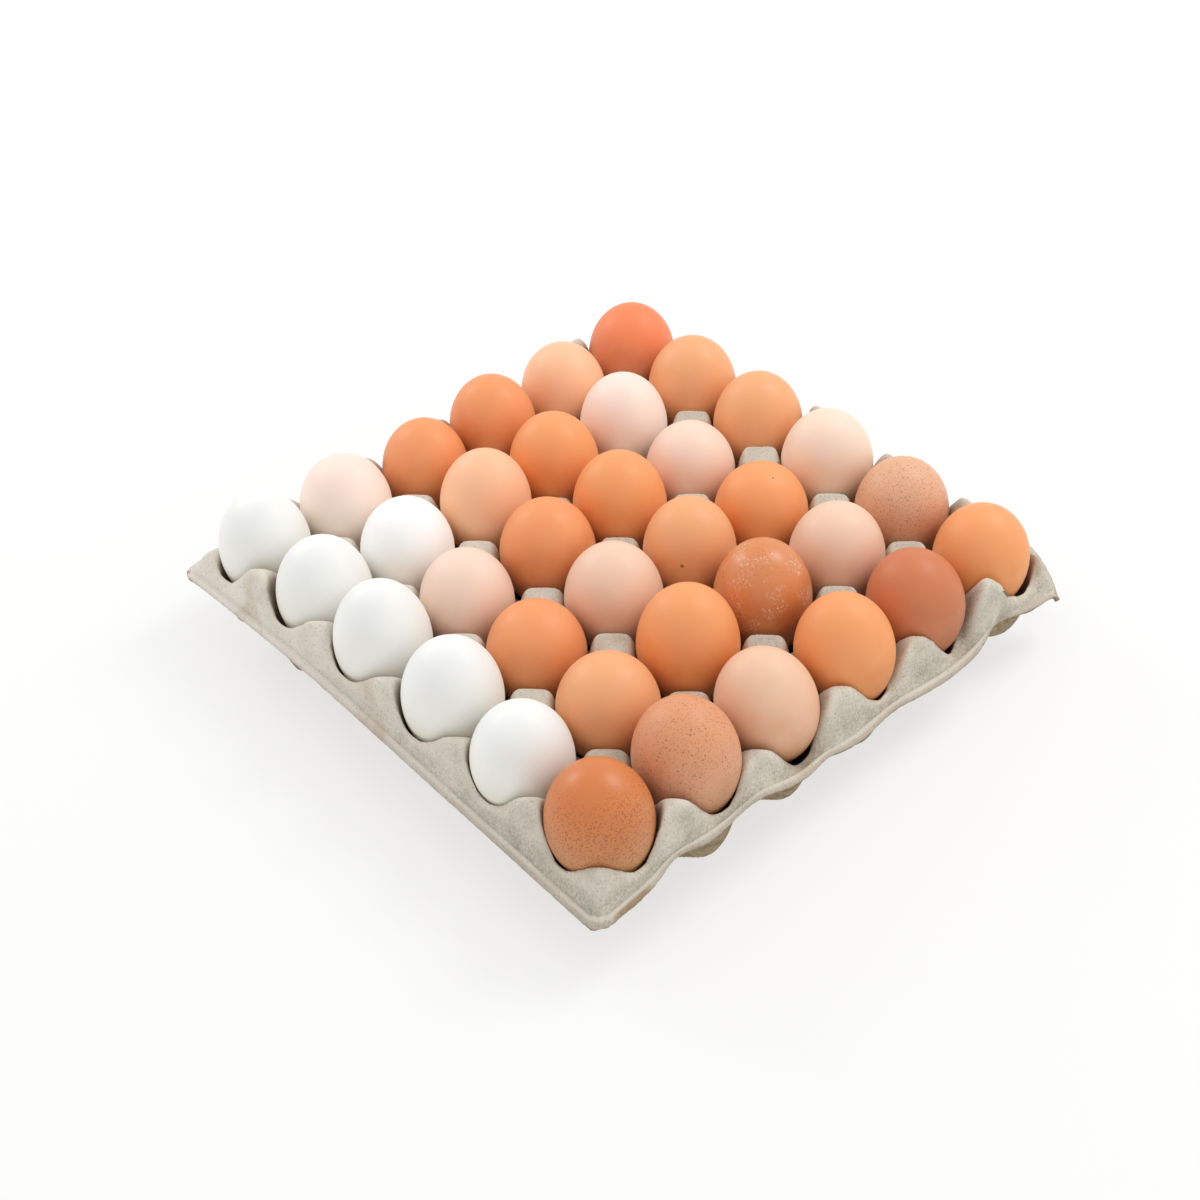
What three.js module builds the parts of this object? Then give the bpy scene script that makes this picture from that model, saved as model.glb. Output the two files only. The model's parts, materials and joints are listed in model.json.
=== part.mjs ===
// An open tray of moulded pulp, six cups by six, with a hen's egg standing in every cup.
// Millimetres, Z up. The underside of the cups is at z = 0, and the middle of the tray is over the origin.
// X runs along the front side to the right, and Y runs from the front side to the back.
import * as THREE from "three";

// The grid of cups, and the even grid of points that the tray's sheet is pressed from.
const PITCH = 47.5;
const ROWS = 6;
const HALF = (ROWS * PITCH) / 2;
const STEPS_PER_CUP = 7;
const STEP = PITCH / STEPS_PER_CUP;
const STEPS = ROWS * STEPS_PER_CUP + 2;
const EDGE = HALF + STEP;
const SHEET = 2.2;

// A cup: a flat floor, a bowl that grows steeper as it widens, and a lip that leans back from the egg.
// Its wall is thicker by a rib under each of the four posts, and the egg stands on these ribs.
const CUP_FLOOR_RADIUS = 13.5;
const CUP_FLOOR_ROUND = 2;
const CUP_BOWL_SLOPE = 2.3;
const CUP_BOWL_RADIUS = 24.5;
const CUP_BOWL_HEIGHT = 56;
const CUP_BOWL_POWER = 14;
const CUP_LIP_RADIUS = 22.7;
const CUP_LIP_SLOPE = 5;
const CUP_RIB = 2.45;
const CUP_RIB_START = 23.2;
const CUP_RIB_END = 19.2;

// The cup of the right front corner has been pushed open towards that corner.
const OPEN_CUP = (ROWS * PITCH - PITCH) / 2;
const OPEN_STRETCH = 0.16;
const OPEN_SHARPNESS = 8;

// The posts between the cups, and the flat rim round them.
const SADDLE_HEIGHT = 32;
const RIM_HEIGHT = 32;
const WALL_RISE = 3;
const INNER_POST = { top: 49, head: 8, foot: 14, along: 1 };
const FRONT_POST = { top: 54, head: 6.7, foot: 20.8, along: 1.17 };
const BACK_POST = { top: 54, head: 5, foot: 18.5, along: 1.1 };
const CORNER_POST = { top: 50, head: 8.6, foot: 24.4, along: 1 };

// The half posts of the front side and the left side stand a little off the even grid. The first list goes
// from the left to the right, and the second from the front to the back.
const FRONT_POST_SHIFTS = [-1.8, -0.9, 1.8, 4.8, 5.9];
const LEFT_POST_SHIFTS = [-2.2, -1.8, -2.2, 2.1, 0];

// The fold between the rim and the cups.
const FOLD_ROUND = 8;
const FOLD_START = -3.5;
const FOLD_WALL_END = 1.5;
const FOLD_POST_END = 6;
const EDGE_DROP = 1.2;
const CORNER_ROUND = 8;

// Where the pulp has warped: a swelling has its middle, its width along X, and its height, or its depth as
// a value below zero. Its length along Y is its width, unless it is given too.
const RIM_SWELLINGS = [
  { x: -HALF, y: 50, width: 60, length: 95, height: 6.5 },
  { x: -EDGE, y: -EDGE, width: 45, height: -3 },
  { x: -100, y: -EDGE, width: 32, height: 4.2 },
  { x: -54, y: -EDGE, width: 13, height: 4 },
  { x: 0, y: -EDGE, width: 22, height: -2.4 },
  { x: 64, y: -EDGE, width: 26, height: -4.6 },
  { x: EDGE, y: -EDGE, width: 14, height: -3.5 },
  { x: EDGE + 2, y: -EDGE + 2, width: 7, height: -8 },
  { x: EDGE, y: -124, width: 14, length: 12, height: 8.5 },
];
const WALL_SWELLINGS = [
  { x: -HALF, y: 0, width: 30, length: 300, height: 4.2 },
  { x: -HALF, y: -119, width: 25, length: 30, height: 0.7 },
  { x: -75, y: -HALF, width: 18, height: -1 },
  { x: -30, y: -HALF, width: 18, height: -6.2 },
  { x: 22, y: -HALF, width: 16, height: 0.4 },
  { x: 72, y: -HALF, width: 18, height: -3 },
  { x: 120, y: -HALF, width: 16, height: 1.1 },
  { x: HALF, y: -137, width: 8, height: 8 },
];
const POST_SWELLINGS = [
  { x: -120, y: -120, width: 70, height: -3.5 },
  { x: -71, y: -95, width: 40, height: -1 },
  { x: -PITCH, y: -PITCH, width: 20, height: 1.8 },
  { x: 24, y: -95, width: 35, height: 2.2 },
  { x: -PITCH, y: 0, width: 20, height: -1.5 },
  { x: -PITCH, y: PITCH, width: 20, height: -1.5 },
  { x: 0, y: PITCH, width: 20, height: -1.5 },
  { x: 0, y: 15, width: 30, height: 1.5 },
  { x: 60, y: 20, width: 35, height: 1.2 },
  { x: -HALF, y: 2 * PITCH, width: 30, height: 4 },
  { x: -HALF, y: 20, width: 25, height: 2 },
  { x: -HALF, y: -2 * PITCH, width: 20, height: 2.8 },
  { x: -2 * PITCH, y: -HALF, width: 20, height: 3.3 },
  { x: -PITCH, y: -HALF, width: 20, height: -5 },
  { x: 0, y: -HALF, width: 20, height: -3.3 },
  { x: PITCH, y: -HALF, width: 20, height: -5.2 },
  { x: 2 * PITCH, y: -HALF, width: 20, height: 1.4 },
  { x: HALF, y: -HALF, width: 20, height: -14 },
  { x: 2 * PITCH, y: HALF, width: 30, height: 6 },
  { x: HALF, y: 5, width: 60, height: 10 },
  { x: HALF, y: -2 * PITCH, width: 25, height: 3 },
  { x: -HALF, y: HALF, width: 30, height: -6 },
];

// The stretches where the front edge of the rim is drawn in.
const EDGE_PULLS = [
  { x: -103, width: 11, depth: 4 },
  { x: -66, width: 16, depth: 3 },
  { x: -14, width: 10, depth: 2.5 },
  { x: 28, width: 14, depth: 1.5 },
  { x: 93, width: 14, depth: 5.5 },
];

// The eggs stand narrow end down. A tall egg stands higher, and an egg off the middle of its cup leans.
const EGG_MIDDLE = 47.5;
const EGG_USUAL_HEIGHT = 55.7;
const EGG_STAND = 0.6;
const EGG_LEAN = 0.02;
const EGG_TAPER = 0.08;
const EGG_TAPER_POWER = 1.5;
const EGG_POINT_STRETCH = 1.05;
const EGG_SIDES = 12;
const EGG_RINGS_ABOVE = 3;
const EGG_RINGS_BELOW = 4;

// The eggs in rows from the back, each row from the left. An egg has its shade, its width and height,
// and how far it stands to the right of the middle of its cup, and behind it.
const EGGS = [
  [
    ["white", 43.5, 58, 1, 0], ["cream", 45, 55, 0.5, 0], ["brown", 43, 53, 1, -1],
    ["brown", 44.5, 57, -1.5, 0], ["peach", 44.5, 54.5, -1, 0], ["red", 46, 57, 0, -0.5],
  ],
  [
    ["white", 44.5, 58, 1.5, 0], ["cream", 44.5, 54.5, 1.5, 0], ["tan", 44.5, 57.5, 2, 0],
    ["orange", 45, 56.5, -0.5, 1], ["cream", 44.5, 57, -0.5, 1.5], ["tan", 46, 58, -0.5, 0],
  ],
  [
    ["white", 44, 61, 0, 1], ["pink", 43.5, 52.5, -0.5, 0.5], ["brown", 45.5, 55, 0.5, 0],
    ["orange", 45.5, 58, -0.5, 0.5], ["pink", 44.5, 52, -0.5, 0.5], ["tan", 45.5, 58, 0, 0.5],
  ],
  [
    ["white", 44.5, 59, 0.5, 0], ["brown", 45, 51, 0, 0], ["pink", 45.5, 56.5, -0.5, 0.5],
    ["tan", 44, 56.5, 0, 0.5], ["orange", 45.5, 52, 0, 0], ["cream", 45.5, 58.5, 0, 1],
  ],
  [
    ["white", 44, 55, -0.5, 0.5], ["tan", 45.5, 51.5, -0.5, 0], ["orange", 46, 60.5, 0, 0.5],
    ["brown", 45, 58.5, 0, 1], ["pink", 45, 55, 0, -1], ["speckled", 45, 55, 0, 0.5],
  ],
  [
    ["brown", 45, 56, -0.5, 0.5], ["speckled", 45.5, 58, 0, 0.5], ["tan", 44.5, 55.5, -1, 1],
    ["orange", 44.5, 57, 0.5, -0.5], ["red", 44.5, 54.5, 0.5, -0.5], ["orange", 44.5, 54, 0, 0],
  ],
];
const SHADES = {
  white: 0xf3f3ee,
  cream: 0xf6dccb,
  pink: 0xf0c8b0,
  tan: 0xf0a876,
  peach: 0xf1b48c,
  orange: 0xf0935a,
  brown: 0xd9824f,
  red: 0xe07f58,
  speckled: 0xd79872,
};
const PULP_SHADE = 0xcfc8ba;

function ease(from, to, value) {
  const share = THREE.MathUtils.clamp((value - from) / (to - from), 0, 1);
  return share * share * (3 - 2 * share);
}

function bell(distance, width) {
  return Math.exp(-((distance / width) ** 2));
}

function swelling(swellings, x, y) {
  let height = 0;
  for (const one of swellings) {
    height += one.height * bell(x - one.x, one.width) * bell(y - one.y, one.length ?? one.width);
  }
  return height;
}

// How far a point lies inside the fold between the rim and the cups, with rounded corners.
function insideFold(x, y) {
  const alongX = Math.max(0, Math.abs(x) - (HALF - FOLD_ROUND));
  const alongY = Math.max(0, Math.abs(y) - (HALF - FOLD_ROUND));
  return FOLD_ROUND - (alongX ** 4 + alongY ** 4) ** 0.25;
}

function cupMiddle(value) {
  const cup = THREE.MathUtils.clamp(Math.floor(value / PITCH), -ROWS / 2, ROWS / 2 - 1);
  return (cup + 0.5) * PITCH;
}

function postMiddle(value) {
  return THREE.MathUtils.clamp(Math.round(value / PITCH) * PITCH, -HALF, HALF);
}

// How far the post nearest to a point stands off the even grid, along its side of the tray.
function postShift(shifts, alongSide, towardsSide) {
  const isBesideSide = towardsSide === -HALF && Math.abs(alongSide) < HALF;
  return isBesideSide ? shifts[Math.round(alongSide / PITCH) + ROWS / 2 - 1] : 0;
}

function cupHeight(x, y) {
  const right = x - cupMiddle(x);
  const behind = y - cupMiddle(y);
  const angle = Math.atan2(behind, right);
  const stretch = cupMiddle(x) === OPEN_CUP && cupMiddle(y) === -OPEN_CUP ? OPEN_STRETCH : 0;
  const towardsCorner = Math.max(0, Math.cos(angle + Math.PI / 4)) ** OPEN_SHARPNESS;
  const distance = Math.hypot(right, behind) * (1 - stretch * towardsCorner);
  const underPost = Math.sin(2 * angle) ** 2;
  const radius = distance + CUP_RIB * underPost * ease(CUP_RIB_START, CUP_RIB_END, distance);
  const within = Math.min(radius, CUP_LIP_RADIUS);
  const curve = THREE.MathUtils.clamp(within - CUP_FLOOR_RADIUS + CUP_FLOOR_ROUND, 0, 2 * CUP_FLOOR_ROUND);
  const straight = Math.max(0, within - CUP_FLOOR_RADIUS - CUP_FLOOR_ROUND);
  const slope = CUP_BOWL_SLOPE * (curve ** 2 / (4 * CUP_FLOOR_ROUND) + straight);
  const bowl = CUP_BOWL_HEIGHT * (within / CUP_BOWL_RADIUS) ** CUP_BOWL_POWER;
  return SHEET + slope + bowl + CUP_LIP_SLOPE * (radius - within);
}

// A post is a square turned by 45 degrees with rounded corners, so that its sides face the eggs.
function postHeight(x, y, rim) {
  const middleX = postMiddle(x);
  const middleY = postMiddle(y);
  const besideX = Math.abs(middleX) === HALF;
  const besideY = Math.abs(middleY) === HALF;
  const inside = insideFold(x, y);
  let post = INNER_POST;
  if (besideX || besideY) {
    post = (besideX && middleX > 0) || (besideY && middleY > 0) ? BACK_POST : FRONT_POST;
  }
  if (besideX && besideY) {
    post = CORNER_POST;
  }
  const shiftX = postShift(FRONT_POST_SHIFTS, middleX, middleY);
  const shiftY = postShift(LEFT_POST_SHIFTS, middleY, middleX);
  const acrossX = (x - middleX - shiftX) * (besideY ? post.along : 1);
  const acrossY = (y - middleY - shiftY) * (besideX ? post.along : 1);
  const turned = ((acrossX + acrossY) ** 4 + (acrossX - acrossY) ** 4) / 4;
  const distance = post === CORNER_POST ? Math.hypot(acrossX, acrossY) : turned ** 0.25;
  let base = SADDLE_HEIGHT;
  let fold = 1;
  if (post !== INNER_POST) {
    const wall = WALL_RISE + swelling(WALL_SWELLINGS, x, y);
    base = rim + wall * ease(FOLD_START, FOLD_WALL_END, inside);
    fold = ease(FOLD_START, FOLD_POST_END, inside);
  }
  const top = post.top + swelling(POST_SWELLINGS, middleX, middleY);
  return base + Math.max(0, top - base) * (1 - ease(post.head, post.foot, distance)) * fold;
}

// The height of the tray's upper face over a point of the flat sheet.
function trayHeight(x, y) {
  const rim = RIM_HEIGHT + swelling(RIM_SWELLINGS, x, y);
  const inside = insideFold(x, y);
  const pressed = Math.min(cupHeight(x, y), postHeight(x, y, rim));
  const outward = THREE.MathUtils.clamp((FOLD_START - inside) / (STEP + FOLD_START), 0, 1);
  return (inside < FOLD_START ? rim : pressed) - EDGE_DROP * outward;
}

// Rounds the corners of the square sheet, and draws in the front edge where it is narrow.
function trayPlace(x, y, target) {
  const straight = EDGE - CORNER_ROUND;
  const beyondX = Math.max(0, Math.abs(x) - straight);
  const beyondY = Math.max(0, Math.abs(y) - straight);
  target.set(x, y, trayHeight(x, y));
  target.x -= Math.sign(x) * beyondX * (1 - Math.sqrt(1 - (beyondY / CORNER_ROUND) ** 2 / 2));
  target.y -= Math.sign(y) * beyondY * (1 - Math.sqrt(1 - (beyondX / CORNER_ROUND) ** 2 / 2));
  for (const pull of EDGE_PULLS) {
    target.y += pull.depth * bell(x - pull.x, pull.width) * ease(-HALF, -EDGE, y);
  }
}

// Splits each square of a grid of points along the diagonal that lies lower, so that every cup stays open.
function splitLow(index, first, count, heights) {
  for (let at = first; at < first + count; at += 6) {
    const [a, b, d, , c] = index.array.slice(at, at + 6);
    if (heights[a] + heights[c] < heights[b] + heights[d]) {
      index.array.set([a, b, c, a, c, d], at);
    }
  }
}

function traySheet() {
  const sheet = new THREE.PlaneGeometry(2 * EDGE, 2 * EDGE, STEPS, STEPS);
  const points = sheet.attributes.position;
  const place = new THREE.Vector3();
  for (let i = 0; i < points.count; i++) {
    trayPlace(points.getX(i), points.getY(i), place);
    points.setXYZ(i, place.x, place.y, place.z);
  }
  const heights = Array.from({ length: points.count }, (_, i) => points.getZ(i));
  splitLow(sheet.index, 0, sheet.index.count, heights);
  sheet.computeVertexNormals();
  return sheet;
}

// A thin flat box whose upper face is laid on the pressed sheet, with its lower face one thickness below.
function trayGeometry() {
  const sheet = traySheet();
  const box = new THREE.BoxGeometry(2 * EDGE, 2 * EDGE, SHEET, STEPS, STEPS, 1);
  const points = box.attributes.position;
  const heights = [];
  const place = new THREE.Vector3();
  const normal = new THREE.Vector3();
  for (let i = 0; i < points.count; i++) {
    const column = Math.round((points.getX(i) + EDGE) / STEP);
    const row = Math.round((EDGE - points.getY(i)) / STEP);
    const same = row * (STEPS + 1) + column;
    place.fromBufferAttribute(sheet.attributes.position, same);
    heights.push(place.z);
    if (points.getZ(i) < 0) {
      normal.fromBufferAttribute(sheet.attributes.normal, same);
      place.addScaledVector(normal, -SHEET);
    }
    points.setXYZ(i, place.x, place.y, place.z);
  }
  for (const face of box.groups.slice(4)) {
    splitLow(box.index, face.start, face.count, heights);
  }
  box.computeVertexNormals();
  box.computeBoundingBox();
  return box.translate(0, 0, -box.boundingBox.min.z);
}

// An egg is its outline turned round its axis: an ellipse that narrows to the point below its middle.
function eggGeometry(width, height) {
  const outline = [];
  for (let ring = -EGG_RINGS_BELOW; ring <= EGG_RINGS_ABOVE; ring++) {
    const rings = ring < 0 ? EGG_RINGS_BELOW : EGG_RINGS_ABOVE;
    const angle = (Math.PI / 2) * (ring / rings);
    const low = Math.max(0, -Math.sin(angle));
    const radius = (width / 2) * Math.cos(angle) * (1 - EGG_TAPER * low ** EGG_TAPER_POWER);
    const stretch = ring < 0 ? EGG_POINT_STRETCH : 1;
    const along = (height / 2) * stretch * Math.sin(angle);
    outline.push(new THREE.Vector2(Math.abs(ring) === rings ? 0 : radius, along));
  }
  return new THREE.LatheGeometry(outline, EGG_SIDES).rotateX(Math.PI / 2);
}

function makeEgg(row, column, [shade, width, height, right, behind]) {
  const shell = new THREE.MeshStandardMaterial({ color: SHADES[shade], roughness: 0.45, metalness: 0 });
  const egg = new THREE.Mesh(eggGeometry(width, height), shell);
  egg.name = `egg_${row + 1}_${column + 1}`;
  egg.position.set(
    (column + 0.5) * PITCH - HALF + right,
    HALF - (row + 0.5) * PITCH + behind,
    EGG_MIDDLE + EGG_STAND * (height - EGG_USUAL_HEIGHT),
  );
  egg.rotation.set(-EGG_LEAN * behind, EGG_LEAN * right, 0);
  return egg;
}

const pulp = new THREE.MeshStandardMaterial({ color: PULP_SHADE, roughness: 0.95, metalness: 0 });
const tray = new THREE.Mesh(trayGeometry(), pulp);
tray.name = "tray";

const eggs = new THREE.Group();
EGGS.forEach((line, row) => {
  line.forEach((egg, column) => {
    eggs.add(makeEgg(row, column, egg));
  });
});

const trayWithEggs = new THREE.Group();
trayWithEggs.add(tray, eggs);

export default trayWithEggs;
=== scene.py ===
# %% [markdown]
# # A tray of eggs
#
# This notebook dresses a CAD model of an open egg tray: six rows of six cups pressed from
# grey paper pulp, with a hen's egg in every cup. The CAD model fixes where everything is.
# Here the tray gets its soft folds and its fibres, and the eggs get smooth shells, colours
# and freckles. Every piece is made in metres, in the same place as the CAD solid it stands for.

# %% Load the CAD model
import json
import math

import bmesh
import bpy
from mathutils import Matrix, Vector, noise


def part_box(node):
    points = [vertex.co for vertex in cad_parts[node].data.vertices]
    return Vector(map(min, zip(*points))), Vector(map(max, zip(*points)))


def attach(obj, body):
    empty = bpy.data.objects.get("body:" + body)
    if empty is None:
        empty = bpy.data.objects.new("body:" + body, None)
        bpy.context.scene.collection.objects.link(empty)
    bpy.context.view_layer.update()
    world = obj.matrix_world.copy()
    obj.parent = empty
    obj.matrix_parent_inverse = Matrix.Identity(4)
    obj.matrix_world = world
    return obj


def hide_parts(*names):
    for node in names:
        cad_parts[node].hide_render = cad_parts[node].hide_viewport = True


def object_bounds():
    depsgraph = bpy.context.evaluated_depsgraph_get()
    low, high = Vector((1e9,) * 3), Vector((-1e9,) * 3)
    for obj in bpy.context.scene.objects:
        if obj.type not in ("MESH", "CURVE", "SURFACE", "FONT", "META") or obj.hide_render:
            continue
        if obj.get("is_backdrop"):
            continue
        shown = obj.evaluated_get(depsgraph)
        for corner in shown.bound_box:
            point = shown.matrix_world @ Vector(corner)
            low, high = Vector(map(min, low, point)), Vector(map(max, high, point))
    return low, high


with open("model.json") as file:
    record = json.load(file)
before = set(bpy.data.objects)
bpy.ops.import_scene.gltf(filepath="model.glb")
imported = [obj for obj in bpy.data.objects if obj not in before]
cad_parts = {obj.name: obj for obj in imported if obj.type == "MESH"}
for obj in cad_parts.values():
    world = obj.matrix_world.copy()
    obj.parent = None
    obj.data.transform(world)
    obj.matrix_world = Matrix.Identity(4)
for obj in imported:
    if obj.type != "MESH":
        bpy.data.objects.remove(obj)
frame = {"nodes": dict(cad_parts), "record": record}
cad_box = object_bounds()
MM = 0.001
sides = [round(side / MM, 1) for side in cad_box[1] - cad_box[0]]
print("the CAD model has", len(frame["nodes"]), "solids and measures", sides, "mm")

# %% [markdown]
# ## The camera
#
# The photograph looks down on one corner of the tray from about a metre away. A camera can be
# aimed with a Track To constraint, but then it can't lean sideways. Here the camera's own axes
# are worked out from the point it looks at, and it is then rolled by the small angle that the
# photographer held it at.

# %% Place the camera
CAMERA_PLACE = Vector((-0.4320, -0.4853, 0.5815))
CAMERA_AIM = Vector((-0.0294, -0.0194, 0.0475))
CAMERA_ROLL = math.radians(2.15)
CAMERA_LENS = 53.84
SENSOR_WIDTH = 36

camera_data = bpy.data.cameras.new("camera")
camera_data.lens = CAMERA_LENS
camera_data.sensor_width = SENSOR_WIDTH
camera_data.clip_start = 0.05
camera_data.clip_end = 20
camera = bpy.data.objects.new("camera", camera_data)
look = (CAMERA_AIM - CAMERA_PLACE).to_track_quat("-Z", "Y").to_matrix().to_4x4()
camera.matrix_world = Matrix.Translation(CAMERA_PLACE) @ look @ Matrix.Rotation(-CAMERA_ROLL, 4, "Z")
bpy.context.scene.collection.objects.link(camera)
bpy.context.scene.camera = camera
downwards = math.degrees(math.asin((CAMERA_PLACE - CAMERA_AIM).normalized().z))
print("the camera looks down at", round(downwards, 1), "degrees")

# %% [markdown]
# ## The studio
#
# Eggs are photographed in very soft light on white, so that their shapes show through gentle
# shading and not through hard shadows. A bright world gives the even light, and two large area
# lights stand in for softboxes: each leaves one dim highlight on a glossy shell. A lamp's colour
# and strength could also be changed with nodes, but plain settings are enough here.

# %% Make the world and the softboxes
world = bpy.data.worlds.new("studio")
bpy.context.scene.world = world
world.use_nodes = True
background = world.node_tree.nodes["Background"]
background.inputs["Color"].default_value = (1.0, 0.99, 0.97, 1)
background.inputs["Strength"].default_value = 0.80
bpy.context.scene.view_settings.view_transform = "Standard"


def softbox(name, place, aim, width, height, power):
    """A large rectangular light that faces a point."""
    data = bpy.data.lights.new(name, "AREA")
    data.shape = "RECTANGLE"
    data.size = width
    data.size_y = height
    data.energy = power
    lamp = bpy.data.objects.new(name, data)
    turn = (Vector(aim) - Vector(place)).to_track_quat("-Z", "Y").to_matrix().to_4x4()
    lamp.matrix_world = Matrix.Translation(place) @ turn
    bpy.context.scene.collection.objects.link(lamp)
    return lamp


softbox("softbox_back", (-0.25, 1.30, 0.75), (0, 0, 0.05), 0.5, 0.42, 4.5)
softbox("softbox_right", (0.85, -0.25, 1.15), (0, 0, 0.05), 0.55, 0.55, 7)
print("made", len(bpy.data.lights), "softboxes")

# %% [markdown]
# ## Shader maths that reads like maths
#
# A material's node tree is a chain of small sums. Wiring each Math node by hand takes many
# lines and hides what is meant. The class below wraps one socket, so that `a * 2 + b` adds the
# Math nodes by itself, and its `node` method adds any other node.

# %% A socket that can be used in sums
class Wire:
    """One output socket of a node tree."""

    def __init__(self, tree, socket=None):
        self.tree = tree
        self.socket = socket

    def node(self, kind, settings=None, inputs=None, output=0):
        """Adds a node with these settings, and sets or links its inputs."""
        made = self.tree.nodes.new(kind)
        for name, value in (settings or {}).items():
            setattr(made, name, value)
        for name, value in (inputs or {}).items():
            if isinstance(value, Wire):
                self.tree.links.new(value.socket, made.inputs[name])
            else:
                made.inputs[name].default_value = value
        return Wire(self.tree, made.outputs[output])

    def math(self, operation, first, second=0.0, clamp=False):
        settings = {"operation": operation, "use_clamp": clamp}
        return self.node("ShaderNodeMath", settings, {0: first, 1: second})

    def __add__(self, other):
        return self.math("ADD", self, other)

    def __sub__(self, other):
        return self.math("SUBTRACT", self, other)

    def __rsub__(self, other):
        return self.math("SUBTRACT", other, self)

    def __mul__(self, other):
        return self.math("MULTIPLY", self, other)

    def __truediv__(self, other):
        return self.math("DIVIDE", self, other)

    __radd__ = __add__
    __rmul__ = __mul__

    def below(self, limit, soft):
        """1 where the value is well below the limit, and 0 above it, with a soft step between."""
        return self.math("ADD", (limit - self) / soft, 0.5, clamp=True)

    def above(self, limit, soft):
        """1 where the value is well above the limit, and 0 below it, with a soft step between."""
        return self.math("ADD", (self - limit) / soft, 0.5, clamp=True)

    def paint(self, base, over):
        """The colour base, with the colour over on it where this value is 1."""
        return self.node("ShaderNodeMix", {"data_type": "RGBA"}, {0: self, 6: base, 7: over}, output=2)

    def noise(self, scale, detail=2.0, roughness=0.5, distortion=0.0):
        """Cloudy random values around 0.5, with so many lumps to the metre."""
        place = self.node("ShaderNodeTexCoord", output="Object")
        return self.node(
            "ShaderNodeTexNoise",
            inputs={
                "Vector": place,
                "Scale": scale,
                "Detail": detail,
                "Roughness": roughness,
                "Distortion": distortion,
            },
        )

    def dots(self, spacing, output):
        """Random cells: the distance to a cell's middle, or a random colour for each."""
        place = self.node("ShaderNodeTexCoord", output="Object")
        inputs = {"Vector": place, "Scale": 1 / spacing}
        return self.node("ShaderNodeTexVoronoi", inputs=inputs, output=output)

    def distance(self, place):
        """How far each point is from a fixed place, in metres."""
        here = self.node("ShaderNodeTexCoord", output="Object")
        settings = {"operation": "DISTANCE"}
        return self.node("ShaderNodeVectorMath", settings, {0: here, 1: place}, output="Value")

    def attribute(self, name):
        """A value that the mesh carries at each of its points."""
        return self.node("ShaderNodeAttribute", {"attribute_name": name}, output="Fac")


def colour(code):
    """A colour from its web code, as the linear values that shaders use."""
    values = [int(code[at : at + 2], 16) / 255 for at in (1, 3, 5)]
    linear = [value / 12.92 if value < 0.04045 else ((value + 0.055) / 1.055) ** 2.4 for value in values]
    return (*linear, 1)


def new_material(name):
    """An empty material: its shader node, and a wire into its tree."""
    material = bpy.data.materials.new(name)
    material.use_nodes = True
    return material, material.node_tree.nodes["Principled BSDF"], Wire(material.node_tree)


def feed(shader, **inputs):
    """Sets or links a shader's sockets. An underscore in a name stands for a space."""
    for name, value in inputs.items():
        socket = shader.inputs[name.replace("_", " ")]
        if isinstance(value, Wire):
            value.tree.links.new(value.socket, socket)
        else:
            socket.default_value = value


print("middle grey is", round(colour("#808080")[0], 3), "as a linear value")

# %% [markdown]
# ## The floor
#
# The tray stands on a white table. A single large plane is enough, because nothing of the table
# shows but its brightness and a faint shadow. The table glows a little, like the lit table of a
# studio, and so the shadow under the rim stays soft and pale.

# %% Make the floor
floor_mesh = bmesh.new()
bmesh.ops.create_grid(floor_mesh, x_segments=1, y_segments=1, size=6)
floor_data = bpy.data.meshes.new("floor")
floor_mesh.to_mesh(floor_data)
floor_mesh.free()
floor = bpy.data.objects.new("floor", floor_data)
bpy.context.scene.collection.objects.link(floor)
white_table, shader, wire = new_material("white_table")
feed(shader, Base_Color=(0.3, 0.3, 0.3, 1), Roughness=0.8, Specular_IOR_Level=0.1)
feed(shader, Emission_Color=(1, 1, 1, 1), Emission_Strength=0.66)
floor_data.materials.append(white_table)
floor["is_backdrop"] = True
print("the floor is", round(floor.dimensions.x), "m wide")

# %% [markdown]
# ## The form of the tray
#
# An egg tray is made by sucking wet paper pulp on to a wire mould, so it is one sheet, about two
# millimetres thick, that follows the mould everywhere. The simplest way to model such a sheet
# is to press a flat grid: every point of the grid keeps its place seen from above, and a
# function gives its height. Cutting the cups out of a block with Booleans would leave sharp
# edges, and the real tray has none.
#
# The functions use millimetres, because that is how a tray is measured. The first ones give the
# height of a cup's wall: a flat floor, a bowl that grows steeper as it widens, a lip that leans
# back from the egg, and a thicker rib under each of the four posts. The cup of the right front
# corner has been pushed open towards that corner.

# %% Cups
PITCH = 47.5
ROWS = 6
HALF = ROWS * PITCH / 2
RIM_WIDTH = PITCH / 7
EDGE = HALF + RIM_WIDTH
SHEET = 2.2
CUP_FLOOR_RADIUS = 13.5
CUP_FLOOR_ROUND = 2
CUP_BOWL_SLOPE = 2.3
CUP_BOWL_RADIUS = 24.1
CUP_BOWL_HEIGHT = 56
CUP_BOWL_POWER = 14
CUP_LIP_RADIUS = 22.35
CUP_LIP_SLOPE = 5
CUP_RIB = 2.1
CUP_RIB_START = 23.2
CUP_RIB_END = 19.2
OPEN_CUP = (ROWS - 1) * PITCH / 2
OPEN_STRETCH = 0.16
OPEN_SHARPNESS = 8


def clamp(value, low, high):
    return min(max(value, low), high)


def ease(start, end, value):
    """Goes softly from 0 at the start to 1 at the end."""
    share = clamp((value - start) / (end - start), 0, 1)
    return share * share * (3 - 2 * share)


def bell(distance, width):
    return math.exp(-((distance / width) ** 2))


def cup_middle(value):
    return (clamp(math.floor(value / PITCH), -ROWS // 2, ROWS // 2 - 1) + 0.5) * PITCH


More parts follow.
